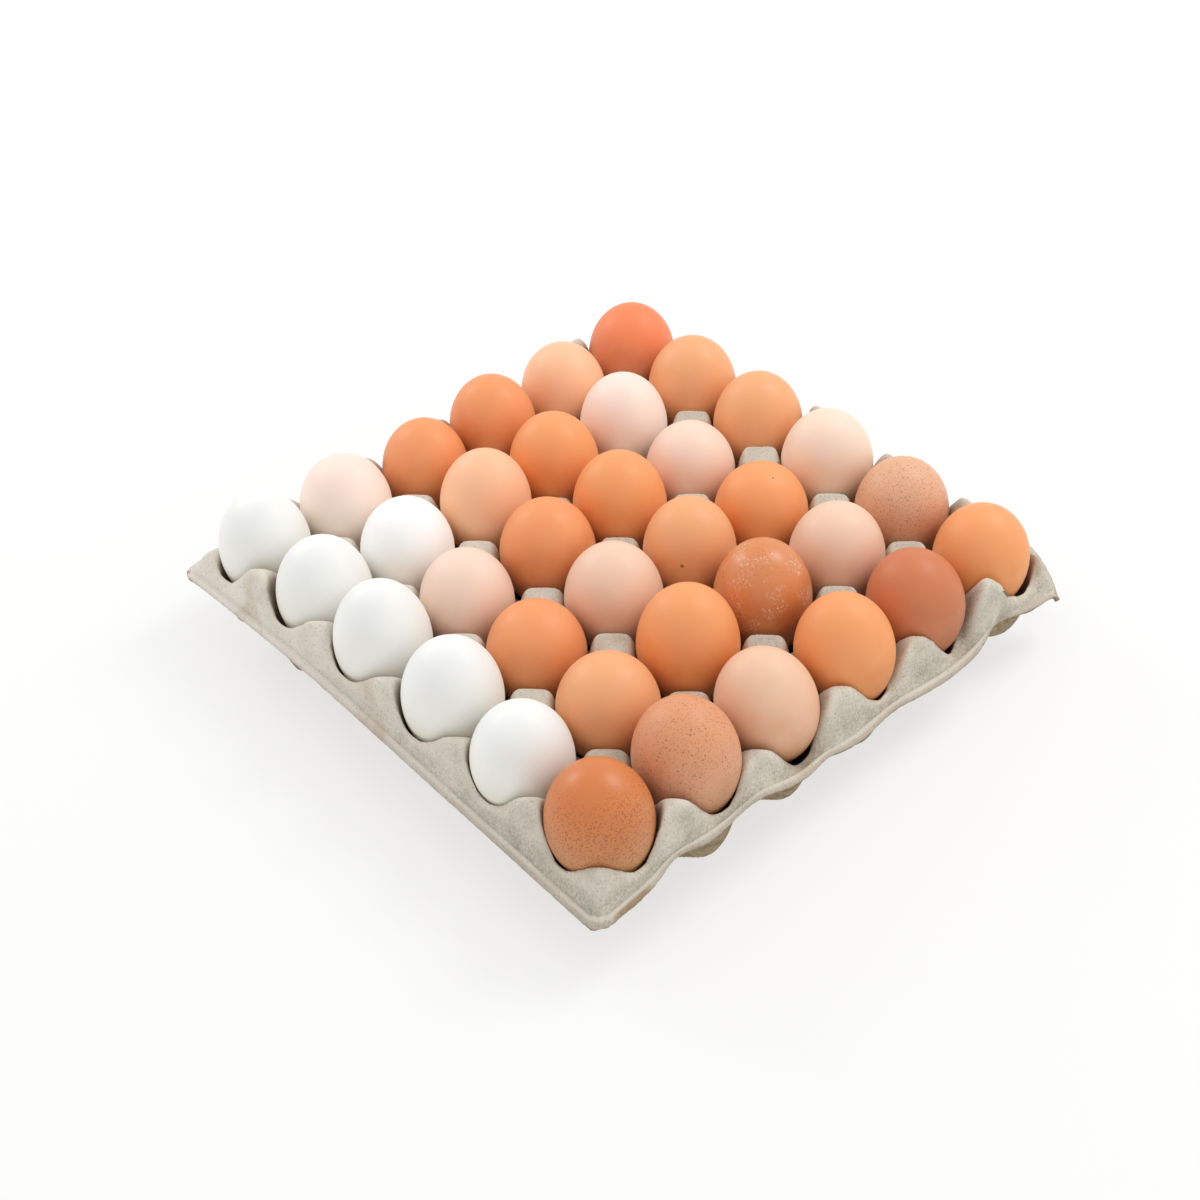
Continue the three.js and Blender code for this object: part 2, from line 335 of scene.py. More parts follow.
def cup_wall(right, behind, stretch=0):
    """The height of a cup's upper face, at a place given from the middle of the cup."""
    angle = math.atan2(behind, right)
    towards_corner = max(0, math.cos(angle + math.pi / 4)) ** OPEN_SHARPNESS
    distance = math.hypot(right, behind) * (1 - stretch * towards_corner)
    under_post = math.sin(2 * angle) ** 2
    radius = distance + CUP_RIB * under_post * ease(CUP_RIB_START, CUP_RIB_END, distance)
    within = min(radius, CUP_LIP_RADIUS)
    curve = clamp(within - CUP_FLOOR_RADIUS + CUP_FLOOR_ROUND, 0, 2 * CUP_FLOOR_ROUND)
    straight = max(0, within - CUP_FLOOR_RADIUS - CUP_FLOOR_ROUND)
    slope = CUP_BOWL_SLOPE * (curve**2 / (4 * CUP_FLOOR_ROUND) + straight)
    bowl = CUP_BOWL_HEIGHT * (within / CUP_BOWL_RADIUS) ** CUP_BOWL_POWER
    return SHEET + slope + bowl + CUP_LIP_SLOPE * (radius - within)


heights = [round(cup_wall(radius, 0), 1) for radius in (0, 14, 18, 22)]
print("a cup is", heights, "mm high at 0, 14, 18 and 22 mm from its middle")

# %% [markdown]
# ## Posts, rim and warps
#
# Between four cups stands a hollow post that keeps the eggs apart. It is a square turned by 45
# degrees, so that its sides face the eggs. Along the sides of the tray the posts are half posts
# that rise from a narrow rim, and on the two front sides some of them stand a few millimetres
# off the even grid. This tray has been wetted and handled, so its rim waves up and down, some
# posts have sunk, and the right-hand corner has come down. Each warp is a soft bell-shaped
# swelling: its middle, its width along X, its length along Y, and its height. The warps could
# be pulled by hand in Sculpt Mode, but a short list can be read and changed.

# %% Posts and rim
SADDLE_HEIGHT = 32
RIM_HEIGHT = 32
WALL_RISE = 3
INNER_POST = {"top": 49, "head": 8, "foot": 14, "along": 1}
FRONT_POST = {"top": 54, "head": 6.7, "foot": 20.8, "along": 1.17}
BACK_POST = {"top": 54, "head": 5, "foot": 18.5, "along": 1.1}
CORNER_POST = {"top": 50, "head": 8.6, "foot": 24.4, "along": 1}
FRONT_SHIFTS = [0, -1.8, -0.9, 1.8, 4.8, 8.5, 0]
LEFT_SHIFTS = [0, -2.2, -1.8, -2.2, 2.1, 0, 0]
FOLD_ROUND = 8
FOLD_START = -3.5
FOLD_WALL_END = 1.5
FOLD_POST_END = 6
EDGE_DROP = 1.2

RIM_SWELLINGS = [
    (-HALF, 50, 60, 95, 6.5),
    (-EDGE, -EDGE, 45, 45, -3),
    (-100, -EDGE, 32, 32, 4.2),
    (-54, -EDGE, 13, 13, 4),
    (0, -EDGE, 22, 22, -2.4),
    (64, -EDGE, 26, 26, -4.6),
    (EDGE, -EDGE, 14, 14, -3.5),
    (EDGE + 2, -EDGE + 2, 7, 7, -8),
    (EDGE, -124, 14, 12, 8.5),
]
WALL_SWELLINGS = [
    (-HALF, 0, 30, 300, 4.2),
    (-HALF, -119, 25, 30, 0.7),
    (-75, -HALF, 18, 18, -1),
    (-30, -HALF, 18, 18, -6.2),
    (22, -HALF, 16, 16, 0.4),
    (72, -HALF, 18, 18, -3),
    (120, -HALF, 16, 16, 1.1),
    (HALF, -137, 8, 8, 8),
]
POST_SWELLINGS = [
    (-120, -120, 70, 70, -3.5),
    (-71, -95, 40, 40, -1),
    (-PITCH, -PITCH, 20, 20, 1.8),
    (24, -95, 35, 35, 2.2),
    (-PITCH, 0, 20, 20, -1.5),
    (-PITCH, PITCH, 20, 20, -1.5),
    (0, PITCH, 20, 20, -1.5),
    (0, 15, 30, 30, 1.5),
    (60, 20, 35, 35, 1.2),
    (-HALF, 2 * PITCH, 30, 30, 4),
    (-HALF, 20, 25, 25, 2),
    (-HALF, -2 * PITCH, 20, 20, 2.8),
    (-2 * PITCH, -HALF, 20, 20, 3.3),
    (-PITCH, -HALF, 20, 20, -5),
    (0, -HALF, 20, 20, -3.3),
    (PITCH, -HALF, 20, 20, -5.2),
    (2 * PITCH, -HALF, 20, 20, 1.4),
    (HALF, -HALF, 20, 20, -14),
    (2 * PITCH, HALF, 30, 30, 6),
    (HALF, 5, 60, 60, 10),
    (HALF, -2 * PITCH, 25, 25, 3),
    (-HALF, HALF, 30, 30, -6),
]


def swelling(swellings, x, y):
    """The height that a list of soft swellings adds at a place."""
    return sum(
        height * bell(x - at_x, width) * bell(y - at_y, length)
        for at_x, at_y, width, length, height in swellings
    )


def inside_fold(x, y):
    """How far a point lies inside the fold between the rim and the cups, with rounded corners."""
    along_x = max(0, abs(x) - (HALF - FOLD_ROUND))
    along_y = max(0, abs(y) - (HALF - FOLD_ROUND))
    return FOLD_ROUND - (along_x**4 + along_y**4) ** 0.25


def post_middle(value):
    return clamp(round(value / PITCH) * PITCH, -HALF, HALF)


def side_shift(shifts, along_side):
    """How far the half posts of a side stand off the even grid at a place along that side."""
    place = clamp((along_side + HALF) / PITCH, 0, ROWS)
    before = min(int(place), ROWS - 1)
    return shifts[before] + (shifts[before + 1] - shifts[before]) * (place - before)


def post_height(x, y):
    """The height of the sheet without its cups: posts inside the fold, and the plain rim outside it."""
    shift_x = side_shift(FRONT_SHIFTS, x) if post_middle(y) == -HALF else 0
    shift_y = side_shift(LEFT_SHIFTS, y) if post_middle(x) == -HALF else 0
    middle_x, middle_y = post_middle(x - shift_x), post_middle(y - shift_y)
    beside_x, beside_y = abs(middle_x) == HALF, abs(middle_y) == HALF
    at_back = (beside_x and middle_x > 0) or (beside_y and middle_y > 0)
    post = INNER_POST
    if beside_x or beside_y:
        post = BACK_POST if at_back else FRONT_POST
    if beside_x and beside_y:
        post = CORNER_POST
    across_x = (x - middle_x - shift_x) * (post["along"] if beside_y else 1)
    across_y = (y - middle_y - shift_y) * (post["along"] if beside_x else 1)
    distance = (((across_x + across_y) ** 4 + (across_x - across_y) ** 4) / 4) ** 0.25
    if post is CORNER_POST:
        distance = math.hypot(across_x, across_y)
    base, fold = SADDLE_HEIGHT, 1
    if post is not INNER_POST:
        inside = inside_fold(x, y)
        wall = WALL_RISE + swelling(WALL_SWELLINGS, x, y)
        base = RIM_HEIGHT + swelling(RIM_SWELLINGS, x, y) + wall * ease(FOLD_START, FOLD_WALL_END, inside)
        fold = ease(FOLD_START, FOLD_POST_END, inside)
    top = post["top"] + swelling(POST_SWELLINGS, middle_x, middle_y)
    return base + max(0, top - base) * (1 - ease(post["head"], post["foot"], distance)) * fold


print("the middle post stands", round(post_height(0, 0), 1), "mm high")
print("the left rim lies at", round(post_height(-EDGE, 0), 1), "mm")

# %% [markdown]
# ## Pressing the sheet
#
# The grid has thirty-five steps to each cup, about 1.4 mm each. A cup's lip is a sharp line that
# runs between the grid's points, so it would come out like the teeth of a saw. Points that are
# within half a step of the lip are therefore moved on to it first. The corners of the square
# grid are rounded by a smooth map, and the front edge is drawn in where the real rim is narrow.
# The cups of the left side and the sunken corner's cup have warped upwards, so their floors are
# lifted.

# %% Press the sheet
STEPS_PER_CUP = 35
STEPS = ROWS * STEPS_PER_CUP + 2 * round(STEPS_PER_CUP * RIM_WIDTH / PITCH)
CORNER_ROUND = 8
EDGE_PULLS = [(-103, 11, 4), (-66, 16, 3), (-14, 10, 2.5), (28, 14, 1.5), (103, 13, 6)]
FLOOR_LIFTS = [(-119, 40, 24, 140, 12), (119, -119, 24, 24, 6)]
LIFT_START = 20
LIFT_END = 13
LIP_NEAREST = 18
LIP_REACH = PITCH / STEPS_PER_CUP / 2
LIP_HALVINGS = 6
# The depth below the posts at which the painted shade inside a cup is full.
HOLLOW_SHADE_DEPTH = 4


def stretch_of_cup(middle_x, middle_y):
    return OPEN_STRETCH if middle_x == OPEN_CUP and middle_y == -OPEN_CUP else 0


def move_to_lip(x, y):
    """Moves a point along its ray from the cup's middle to where the cup's wall meets the posts."""
    middle_x, middle_y = cup_middle(x), cup_middle(y)
    right, behind = x - middle_x, y - middle_y
    stretch = stretch_of_cup(middle_x, middle_y)
    if math.hypot(right, behind) < LIP_NEAREST or inside_fold(x, y) < 0:
        return x, y

    def wall_above_posts(share):
        wall = cup_wall(right * share, behind * share, stretch)
        return wall - post_height(middle_x + right * share, middle_y + behind * share)

    reach = LIP_REACH / max(abs(right), abs(behind))
    near, far = 1 - reach, 1 + reach
    if wall_above_posts(near) > 0 or wall_above_posts(far) < 0:
        return x, y
    for _ in range(LIP_HALVINGS):
        share = (near + far) / 2
        if wall_above_posts(share) < 0:
            near = share
        else:
            far = share
    return middle_x + right * near, middle_y + behind * near


def sheet_height(x, y):
    """The height of the tray's upper face over a point of the flat sheet."""
    inside = inside_fold(x, y)
    if inside < FOLD_START:
        outward = clamp((FOLD_START - inside) / (RIM_WIDTH + FOLD_START), 0, 1)
        return RIM_HEIGHT + swelling(RIM_SWELLINGS, x, y) - EDGE_DROP * outward
    middle_x, middle_y = cup_middle(x), cup_middle(y)
    right, behind = x - middle_x, y - middle_y
    wall = cup_wall(right, behind, stretch_of_cup(middle_x, middle_y))
    raised = ease(LIFT_START, LIFT_END, math.hypot(right, behind))
    lift = swelling(FLOOR_LIFTS, middle_x, middle_y) * raised
    return min(wall + lift, post_height(x, y))


def press(x, y):
    """Where a point of the flat sheet is after pressing, in millimetres."""
    height = sheet_height(x, y)
    straight = EDGE - CORNER_ROUND
    beyond_x, beyond_y = max(0, abs(x) - straight), max(0, abs(y) - straight)
    pressed_x = x - math.copysign(beyond_x * (1 - math.sqrt(1 - (beyond_y / CORNER_ROUND) ** 2 / 2)), x)
    pressed_y = y - math.copysign(beyond_y * (1 - math.sqrt(1 - (beyond_x / CORNER_ROUND) ** 2 / 2)), y)
    pull = sum(depth * bell(x - at, width) for at, width, depth in EDGE_PULLS)
    return Vector((pressed_x, pressed_y + pull * ease(-HALF, -EDGE, y), height))


sheet = bmesh.new()
bmesh.ops.create_grid(sheet, x_segments=STEPS, y_segments=STEPS, size=EDGE * MM)
inside_layer = sheet.verts.layers.float.new("inside")
hollow_shade_layer = sheet.verts.layers.float.new("hollow")
moved = 0
for vertex in sheet.verts:
    x, y = vertex.co.x / MM, vertex.co.y / MM
    place = move_to_lip(x, y)
    moved += place != (x, y)
    vertex[inside_layer] = inside_fold(*place)
    # How far a point lies below the posts, which sets the painted shade inside its cup.
    below = post_height(*place) - sheet_height(*place)
    vertex[hollow_shade_layer] = clamp(below / HOLLOW_SHADE_DEPTH, 0, 1)
    vertex.co = press(*place) * MM
print("the sheet has", len(sheet.verts), "points, and", moved, "of them were moved on to a lip")

# %% [markdown]
# ## Drying
#
# Pulp can't fold sharply, so the sheet is smoothed a little. Blender's own smoothing pulls the
# narrow lips down into the steep cups beside them. Here each point moves towards its neighbours,
# but a neighbour far off counts for little, and so the lips keep their height. Then come the bead
# that is pressed along the fold of the rim, the crease of the sunken corner, low lumps from
# drying, and the ragged cut edge. The wall's thickness comes from a Solidify modifier, which
# also gives the underside and the edge a material of their own. A vertex group makes the sheet
# thinner along sharp crests, where the two undersides of a full wall would cross each other.

# %% Dry the sheet
SMOOTHING_ROUNDS = 2
BEAD_HEIGHT = 1.5
BEAD_WIDTH = 1.0
BEAD_OUTWARD = 0.55
BEAD_GAP = (125, -147, 26)
CREASES = [
    ((113, -140.5), (98, -147), 1.8, 1.9),
    ((117, -142.5), (103, -148), 1.5, -0.7),
    ((124, -142.5), (143, -146.5), 1.6, 0.8),
    ((119, -144.5), (138, -148.5), 1.4, -0.6),
]
TORN = [(-132, -EDGE, 14, 0.5), (142, -EDGE, 9, 0.5)]
RAGGED = 0.25
EDGE_FIBRES = (0.003, 0.0012, 0.0021)
LUMPS = [(0.016, 0.30), (0.0055, 0.16)]
LUMPS_START = 2.5
LUMPS_END = 9
CREST_STRENGTH = 2500
CREST_THINNING = 0.85
THIN_START = 18
THIN_END = 30


def ease_down(mesh, rounds):
    """Smooths the inner points of a mesh, with the pull of each neighbour shared out by its nearness."""
    inner = [vertex for vertex in mesh.verts if not vertex.is_boundary]
    around = {vertex: [edge.other_vert(vertex) for edge in vertex.link_edges] for vertex in inner}
    for _ in range(rounds):
        places = []
        for vertex in inner:
            pull, total = Vector(), 0
            for other in around[vertex]:
                nearness = 1 / (other.co - vertex.co).length
                pull += other.co * nearness
                total += nearness
            places.append((vertex.co + pull / total) / 2)
        for vertex, place in zip(inner, places):
            vertex.co = place


def off_segment(x, y, start, end):
    """How far a place is from a straight line between two places."""
    along_x, along_y = end[0] - start[0], end[1] - start[1]
    share = ((x - start[0]) * along_x + (y - start[1]) * along_y) / (along_x**2 + along_y**2)
    share = clamp(share, 0, 1)
    return math.hypot(x - start[0] - share * along_x, y - start[1] - share * along_y)


def fibre(place, size):
    """Smooth random unevenness from -1 to 1, with lumps of about that size in metres."""
    return noise.noise(place / size)


ease_down(sheet, SMOOTHING_ROUNDS)
for vertex in sheet.verts:
    x, y = vertex.co.x / MM, vertex.co.y / MM
    fading = 1 - bell(math.hypot(x - BEAD_GAP[0], y - BEAD_GAP[1]), BEAD_GAP[2])
    lift = BEAD_HEIGHT * fading * bell(vertex[inside_layer] - FOLD_START + BEAD_OUTWARD, BEAD_WIDTH)
    vertex.co.z += lift * MM
sheet.normal_update()
crest_layer = sheet.verts.layers.float.new("crest")
for vertex in sheet.verts:
    around = [edge.other_vert(vertex).co for edge in vertex.link_edges]
    middle = sum(around, Vector()) / len(around)
    vertex[crest_layer] = clamp((vertex.co - middle).dot(vertex.normal) * CREST_STRENGTH, -1, 1)
thickness_layer = sheet.verts.layers.deform.verify()
for vertex in sheet.verts:
    nearby = [vertex] + [edge.other_vert(vertex) for edge in vertex.link_edges]
    high_up = ease(THIN_START, THIN_END, vertex.co.z / MM)
    sharp = max(0, max(other[crest_layer] for other in nearby)) * high_up
    vertex[thickness_layer][0] = 1 - CREST_THINNING * sharp
for vertex in sheet.verts:
    if vertex.is_boundary:
        x, y = vertex.co.x / MM, vertex.co.y / MM
        torn = [depth * bell(math.hypot(x - at_x, y - at_y), size) for at_x, at_y, size, depth in TORN]
        rough = RAGGED + sum(torn)
        long, short, upright = EDGE_FIBRES
        inward = rough * (abs(fibre(vertex.co, long)) + abs(fibre(vertex.co, short)))
        vertex.co *= 1 - inward / EDGE
        vertex.co.z += rough * fibre(vertex.co, upright) * MM
    else:
        free = ease(LUMPS_START, LUMPS_END, vertex.co.z / MM)
        bump = sum(height * fibre(vertex.co, size) for size, height in LUMPS)
        x, y = vertex.co.x / MM, vertex.co.y / MM
        for start, end, width, depth in CREASES:
            bump -= depth * bell(off_segment(x, y, start, end), width)
        vertex.co += vertex.normal * bump * free * MM
print("the sheet's top is", round(max(v.co.z for v in sheet.verts) / MM, 1), "mm high")

# %% [markdown]
# ## Finishing a piece
#
# Every shown piece goes the same way: its bmesh becomes a mesh, gets its materials and smooth
# shading, and is tied to the CAD solid that it stands for. A function does this once for all,
# so that no piece misses a step. Each piece's own origin stays in the middle of the scene, so
# Object coordinates mean the same place for all of them.

# %% Finish a piece


def finish_piece(name, mesh, materials, replaced):
    """Makes a shown piece from a mesh, which rides on the tray's body and stands for a CAD solid."""
    data = bpy.data.meshes.new(name)
    mesh.to_mesh(data)
    mesh.free()
    for material in materials:
        data.materials.append(material)
    for face in data.polygons:
        face.use_smooth = True
    piece = bpy.data.objects.new(name, data)
    bpy.context.scene.collection.objects.link(piece)
    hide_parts(replaced)
    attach(piece, "root")
    return piece


slot_names = {part["material_slot"] for part in frame["record"]["subparts"]}
print("the pieces share", len(slot_names), "material slots")

# %% [markdown]
# ## Paper pulp
#
# Grey pulp is waste paper with some ink left in it. From near it is mottled: pale fibres, grey
# flecks and a few darker ones, with brown stains where it has been wet. The crests of the folds
# are painted paler, and the insides of the cups are painted darker as shade. A picture of pulp
# could be wrapped round the tray, but it would stretch on the steep cup walls. Noise in Object
# coordinates goes right through the sheet and never stretches.
#
# This tray has more marks of its own. Its left side is bleached, the bead along the fold is
# painted paler, the rim's cut edge is torn down to brown fibres in two places, and there is a red
# dot on the left corner. Each is a soft patch around a place or a band along the rim, painted
# over what lies below it.
#
# Each point of the sheet already carries three values: how far it is inside the fold, how deep
# it lies in a cup, and how sharply it bulges. The material reads them as attributes: the depth in
# a cup sets the painted shade inside the cups, and the bulge sets the paler crests.

# %% Pulp materials
PULP_PALE = colour("#d5cec0")
PULP_GREY = colour("#a5a091")
PULP_COOL = colour("#c3c5c1")
PULP_RIM = colour("#d3c6b7")
PULP_BEAD = colour("#ebe4d8")
PULP_BLEACHED = colour("#f0ebe2")
PULP_BAND = colour("#fdf6f2")
PULP_CREST = colour("#e3ddd0")
PULP_HOLLOW_SHADE = colour("#8a7a65")
PULP_STAIN = colour("#b89f83")
PULP_FLECK = colour("#76716a")
PULP_TORN = colour("#a3825f")
PULP_RED = colour("#a5433f")
UNDERSIDE = colour("#b8a78b")
UNDERSIDE_DARK = colour("#8d795d")
LEFT_TIP = Vector((-147.5, 146.5, 35)) * MM
SUNKEN_CORNER = Vector((128, -147, 30)) * MM
TEARS = [(Vector((-129, -149, 27)) * MM, 0.013), (Vector((145, -148, 22)) * MM, 0.008)]

pulp, shader, wire = new_material("pulp")
mottle = wire.noise(850, detail=4, roughness=0.65)
patches = wire.noise(90, detail=3)
inside = wire.attribute("inside")
shade = (mottle * 0.6 + patches * 0.4).above(0.49, 0.26).paint(PULP_GREY, PULP_PALE)
inner = inside.above(9, 6) * 0.7
shade = inner.paint(shade, PULP_COOL)
bleached = (wire.distance(LEFT_TIP) + wire.noise(60) * 0.05).below(0.17, 0.2)
shade = (bleached * 0.7).paint(shade, PULP_BLEACHED)
rim = (inside + wire.noise(160) * 2).below(FOLD_START + 0.8, 1.2) * (bleached * -0.25 + 0.55)
shade = rim.paint(shade, PULP_RIM)
# The bead is painted paler.
bead = (inside + mottle * 0.8).below(FOLD_START + 0.6, 0.7)
bead = bead * inside.above(FOLD_START - BEAD_OUTWARD - 0.9, 0.7)
bead = bead * wire.distance(SUNKEN_CORNER).above(0.032, 0.03)
shade = (bead * 0.6).paint(shade, PULP_BEAD)
band = (inside + mottle * 1.2).below(FOLD_START + 0.2, 1) * bleached
shade = (band * 0.55).paint(shade, PULP_BAND)
for place, size in TEARS:
    torn = (wire.distance(place) + mottle * 0.006).below(size, 0.004)
    torn = torn * (inside - mottle * 1.5).below(-5.2, 0.8)
    shade = (torn * 0.75).paint(shade, PULP_TORN)
# Sharp crests are painted paler.
paler_crests = wire.attribute("crest").above(0.35, 0.9) * 0.8
shade = paler_crests.paint(shade, PULP_CREST)
stains = wire.noise(36, detail=3).above(0.64, 0.12) * 0.4
shade = stains.paint(shade, PULP_STAIN)
flecks = wire.noise(1100, detail=2).above(0.66, 0.08) * 0.5
shade = flecks.paint(shade, PULP_FLECK)
# Painted shade: the insides of the cups are darkened the deeper they lie below the posts.
shade = (wire.attribute("hollow") * 0.75).paint(shade, PULP_HOLLOW_SHADE)
red_dot = (wire.distance(LEFT_TIP) + mottle * 0.002).below(0.0034, 0.0008) * 0.8
shade = red_dot.paint(shade, PULP_RED)
fibres = wire.noise(1300, detail=3, roughness=0.7, distortion=0.6) * 0.5 + mottle * 0.8
bumps = wire.node("ShaderNodeBump", inputs={"Strength": 0.6, "Distance": 0.0007, "Height": fibres})
feed(shader, Base_Color=shade, Roughness=0.95, Specular_IOR_Level=0.15, Normal=bumps)

pulp_underside, shader, wire = new_material("pulp_underside")
mottle = wire.noise(300, detail=5, roughness=0.7)
shade = mottle.above(0.5, 0.35).paint(UNDERSIDE_DARK, UNDERSIDE)
fibres = wire.noise(900, detail=4, roughness=0.75, distortion=1.0)
bumps = wire.node("ShaderNodeBump", inputs={"Strength": 0.8, "Distance": 0.001, "Height": fibres})
feed(shader, Base_Color=shade, Roughness=0.98, Specular_IOR_Level=0.1, Normal=bumps)

tray = finish_piece("pulp_tray", sheet, [pulp, pulp_underside], "tray")
tray.vertex_groups.new(name="thickness")
thickness = tray.modifiers.new("thickness", "SOLIDIFY")
thickness.thickness = SHEET * MM
thickness.vertex_group = "thickness"
thickness.offset = -1
thickness.material_offset = 1
thickness.material_offset_rim = 1
print("the tray has", len(tray.data.polygons), "faces before its thickness")

# %% [markdown]
# ## The shape of an egg
#
# An egg is round seen from above. Seen from the side it is an ellipse that narrows to the point,
# which stands downwards in the tray, as eggs keep best that way. A sphere is squeezed into that
# shape point by point. The size and the place of every egg are read from its CAD solid, and an
# egg that stands off the middle of its cup leans that way. The eggs of the front row have
# their lower ends nearer to the right front corner of their cups, so they lean further, and
# one has slipped a little to the right as well.

# %% Egg shape
EGG_TAPER = 0.02
EGG_TAPER_POWER = 1.5
EGG_POINT_STRETCH = 1.05
EGG_LEAN = 0.02
FORWARD_LEANS = {"egg_6_1": 4, "egg_6_2": 7, "egg_6_3": 12, "egg_6_4": 8, "egg_6_5": 12}
FORWARD_AXIS = Vector((-1, -1, 0))
SLIPS = {"egg_6_3": Vector((0.8, -0.8, -0.3))}


def egg_mesh(node):
    """An egg in the place of a CAD solid, with its height kept at each point from -1 to 1."""
    low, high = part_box(node)
    width = high.x - low.x
    height = (high.z - low.z) * 2 / (1 + EGG_POINT_STRETCH)
    middle = Vector(((low.x + high.x) / 2, (low.y + high.y) / 2, high.z - height / 2))
    right = middle.x / MM - cup_middle(middle.x / MM)
    behind = middle.y / MM - cup_middle(middle.y / MM)
    middle += SLIPS.get(node, Vector()) * MM
    mesh = bmesh.new()
    level = mesh.verts.layers.float.new("level")
    bmesh.ops.create_uvsphere(mesh, u_segments=56, v_segments=36, radius=1)
    for vertex in mesh.verts:
        vertex[level] = vertex.co.z
        depth = max(0, -vertex.co.z)
        narrow = 1 - EGG_TAPER * depth**EGG_TAPER_POWER
        stretch = EGG_POINT_STRETCH if depth else 1
        vertex.co.x *= width / 2 * narrow
        vertex.co.y *= width / 2 * narrow
        vertex.co.z *= height / 2 * stretch
    lean = Matrix.Rotation(EGG_LEAN * right, 4, "Y") @ Matrix.Rotation(-EGG_LEAN * behind, 4, "X")
    forward = Matrix.Rotation(math.radians(FORWARD_LEANS.get(node, 0)), 4, FORWARD_AXIS)
    bmesh.ops.transform(mesh, matrix=Matrix.Translation(middle) @ forward @ lean, verts=mesh.verts)
    return mesh


# %% [markdown]
# ## Eggshell
#
# A shell is chalk with a thin coloured skin. Brown eggs get their colour late, so it is uneven:
# cloudy, often deeper at the blunt end, and with freckles. The shell is smooth but full of pores,
# which gives a soft, wide highlight. The colour could be painted by hand on each egg. Noise
# and a scatter of dots give every egg its own pattern, because each one lies at another place in
# the same noise.
#
# Most eggs share a plain shell of the shade that the CAD record gives them. Some have their own:
# another mix of tones, freckles, a band of fine specks, pale flakes and a gloss, or a single
# dark spot. Every shell is painted lighter near its top, as painted light from above, and darker
# low down, as painted shade in its cup; on brown eggs these tones carry some of the shell's own
# colour too.

# %% Shell materials
# Four tones for each shade: deep and light are the shell's own colour, low is partly its own colour and
# partly painted shade, and top is painted light with some of its own colour.
SHELLS = {
    "white": {"deep": "#ebe9e2", "light": "#f3f2ed", "low": "#e5e0cc", "top": "#f3f4f2"},
    "cream": {"deep": "#f9e4d4", "light": "#fdf0e7", "low": "#f5d8c5", "top": "#fce5d9"},
    "blush": {"deep": "#f1d1b5", "light": "#f8e0cc", "low": "#ca9d7e", "top": "#f7dcc9"},
    "pink": {"deep": "#e9bfa7", "light": "#f2d2c0", "low": "#dca88b", "top": "#f5d8c6"},
    "bright": {"deep": "#fcf8f1", "light": "#ffffff", "low": "#fff3e8", "top": "#ffffff"},
    "salmon": {"deep": "#ddaf91", "light": "#e8c3ac", "low": "#cc9775", "top": "#f1cdb5"},
    "beige": {"deep": "#e2aa86", "light": "#ecc3a6", "low": "#c99169", "top": "#efc5a8"},
    "tan": {"deep": "#e49864", "light": "#eeb184", "low": "#d68d5c", "top": "#f2ae7c"},
    "peach": {"deep": "#fabc90", "light": "#fed5b0", "low": "#eda778", "top": "#fdc39c"},
    "orange": {"deep": "#e79052", "light": "#f1a76f", "low": "#d48c56", "top": "#f4a36a"},
    "brown": {"deep": "#d18351", "light": "#e39968", "low": "#cf8755", "top": "#f29e69"},
    "dark": {"deep": "#c27645", "light": "#d28f5c", "low": "#b57345", "top": "#d28553"},
    "red": {"deep": "#ca7e5a", "light": "#e09871", "low": "#d28a64", "top": "#f48b5d"},
    "rust": {"deep": "#b96a43", "light": "#cf865d", "low": "#b5704c", "top": "#d17e56"},
    "speckled": {"deep": "#cf9270", "light": "#dfa987", "low": "#c8926d", "top": "#e6b28f"},
}
# A low or top tone given here replaces that of the shade, as painted shade or painted light with the egg's
# own colour.
SPECIAL = {
    "egg_2_2": {"tones": "bright", "line": -0.05},
    "egg_2_3": {"tones": "peach"},
    "egg_4_3": {"tones": "salmon"},
    "egg_4_4": {"tones": "tan", "spot": (6.7, -35.6, 56.2), "spot_size": 1.1},
    "egg_4_5": {"tones": "orange", "spot": (70.8, -30.9, 70.0), "spot_size": 0.7},
    "egg_4_6": {"tones": "blush"},
    "egg_5_4": {
        "tones": "dark",
        "top": "#dd8d5a",
        "flakes": 0.55,
        "gloss": 0.6,
        "freckles": 0.35,
        "freckle_tone": "#93532e",
    },
    "egg_5_5": {"tones": "salmon"},
    "egg_5_6": {"tones": "speckled", "freckles": 0.95, "freckle_tone": "#9a6747"},
    "egg_6_1": {"tones": "dark", "band": 0.8, "gloss": 0.5, "top": "#d88048", "low": "#c69869"},
    "egg_6_2": {"tones": "speckled", "freckles": 0.75, "freckle_tone": "#84502f", "top": "#e29e76"},
    "egg_6_3": {"tones": "beige"},
    "egg_6_5": {"tones": "rust"},
}

FRECKLE_TONE = "#8a4a2a"
BAND_TONE = "#8f5230"
FLAKE_TONE = "#f0dccb"
SPOT_TONE = "#8a4f2c"


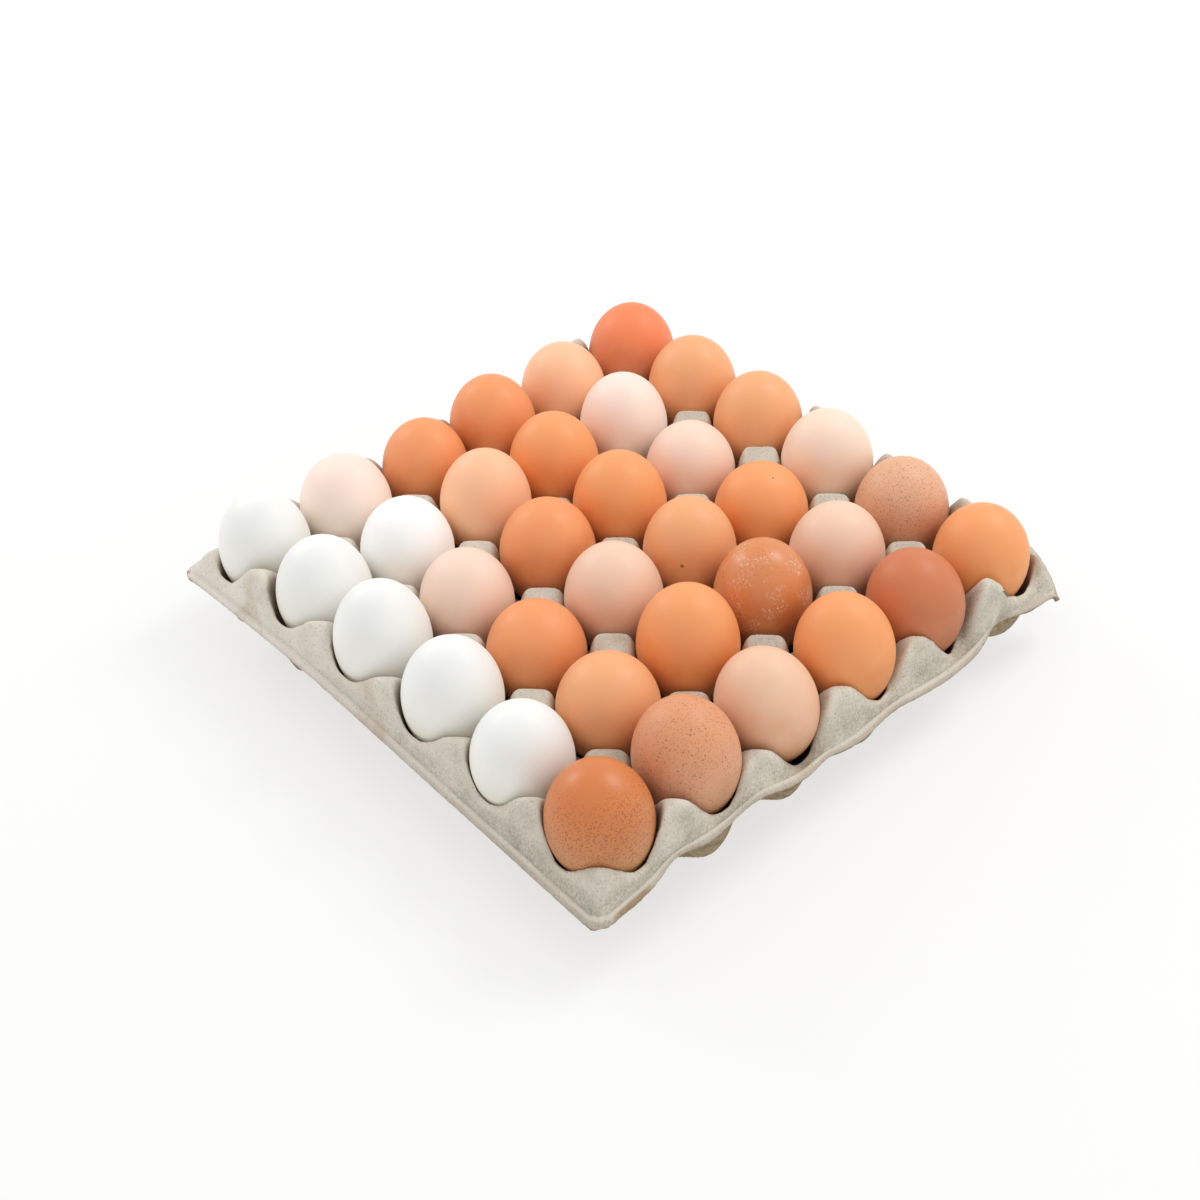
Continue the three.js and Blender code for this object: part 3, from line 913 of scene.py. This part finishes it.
def shell(name, tones, line=-0.25, gloss=0.0, freckles=0.0, freckle_tone=FRECKLE_TONE, **marks):
    """A shell's material. The low colour, partly own colour and partly painted shade, is below the line, and
    the top colour, painted light with some own colour, is near the blunt end.
    """
    material, shader, wire = new_material(name)
    tone = SHELLS[tones] | {key: marks[key] for key in ("low", "top") if key in marks}
    clouds = wire.noise(45, detail=3)
    level = wire.attribute("level")
    shade = clouds.above(0.5, 0.5).paint(colour(tone["deep"]), colour(tone["light"]))
    uneven = level + (clouds - 0.5) * 0.5
    # Painted shade, partly own colour: the low tone darkens the lower part that lies in the cup.
    shade = uneven.below(line, 0.7).paint(shade, colour(tone["low"]))
    # Painted light, with some own colour: the top tone lightens the upper part where the light falls.
    shade = uneven.above(0.4, 0.6).paint(shade, colour(tone["top"]))
    if freckles:
        clusters = wire.noise(70, detail=2).above(0.5 - 0.2 * freckles, 0.3)
        for spacing, share in ((0.0008, freckles * 0.9), (0.0015, freckles * 0.4)):
            near, pick = wire.dots(spacing, "Distance"), wire.dots(spacing, "Color")
            spots = near.below(0.28, 0.2) * pick.above(1 - share, 0.05) * clusters
            shade = (spots * 0.55).paint(shade, colour(freckle_tone))
    if "band" in marks:
        height = uneven.below(0.75, 0.4) * uneven.above(-0.4, 0.4)
        fine = wire.noise(1200, detail=1).above(0.58, 0.08) * height
        shade = (fine * marks["band"] * 0.7).paint(shade, colour(BAND_TONE))
    if "flakes" in marks:
        where = wire.noise(120, detail=2).above(0.55, 0.12) * uneven.above(-0.1, 0.5)
        flakes = wire.noise(1000, detail=3, roughness=0.7).above(0.57, 0.06) * where
        shade = (flakes * marks["flakes"]).paint(shade, colour(FLAKE_TONE))
    if "spot" in marks:
        place = Vector(marks["spot"]) * MM
        spot = (wire.distance(place) + clouds * 0.0005).below(marks["spot_size"] * MM, 0.0004)
        shade = (spot * 0.8).paint(shade, colour(SPOT_TONE))
    pores = wire.noise(2600, detail=2)
    bumps = wire.node("ShaderNodeBump", inputs={"Strength": 0.25, "Distance": 0.0001, "Height": pores})
    feed(
        shader,
        Base_Color=shade,
        Roughness=0.46 - 0.16 * gloss,
        Specular_IOR_Level=0.32 + 0.25 * gloss,
        Subsurface_Weight=0.06,
        Subsurface_Radius=(0.003, 0.002, 0.0015),
        Subsurface_Scale=1.0,
        Normal=bumps,
    )
    return material


slot_of = {part["node"]: part["material_slot"] for part in frame["record"]["subparts"]}
plain = {slot_of[node] for node in frame["nodes"] if node != "tray" and node not in SPECIAL}
plain_shells = {name: shell(name, name.replace("shell_", "")) for name in sorted(plain)}
own_shells = {node: shell("shell_of_" + node, **options) for node, options in SPECIAL.items()}
print("made", len(plain_shells), "plain shells and", len(own_shells), "of their own")

# %% [markdown]
# ## Thirty-six eggs
#
# The loop shapes each egg in the place of its CAD solid, and gives it a shell of its own or the
# plain one of its shade.

# %% Lay the eggs in the tray
eggs = []
for node in sorted(frame["nodes"]):
    if node == "tray":
        continue
    slot_name = slot_of[node]
    material = own_shells.get(node) or plain_shells[slot_name]
    eggs.append(finish_piece(node.replace("egg", "hen_egg"), egg_mesh(node), [material], node))
print("laid", len(eggs), "eggs")

# %% [markdown]
# ## Finish
#
# The visual model must keep the CAD model's size, so both boxes are printed.

# %% Print the sizes
sizes = {"cad": [list(corner) for corner in cad_box], "visual": [list(corner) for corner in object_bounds()]}
for name, (low, high) in sizes.items():
    print(name, [round(value / MM, 2) for value in low], [round(value / MM, 2) for value in high])
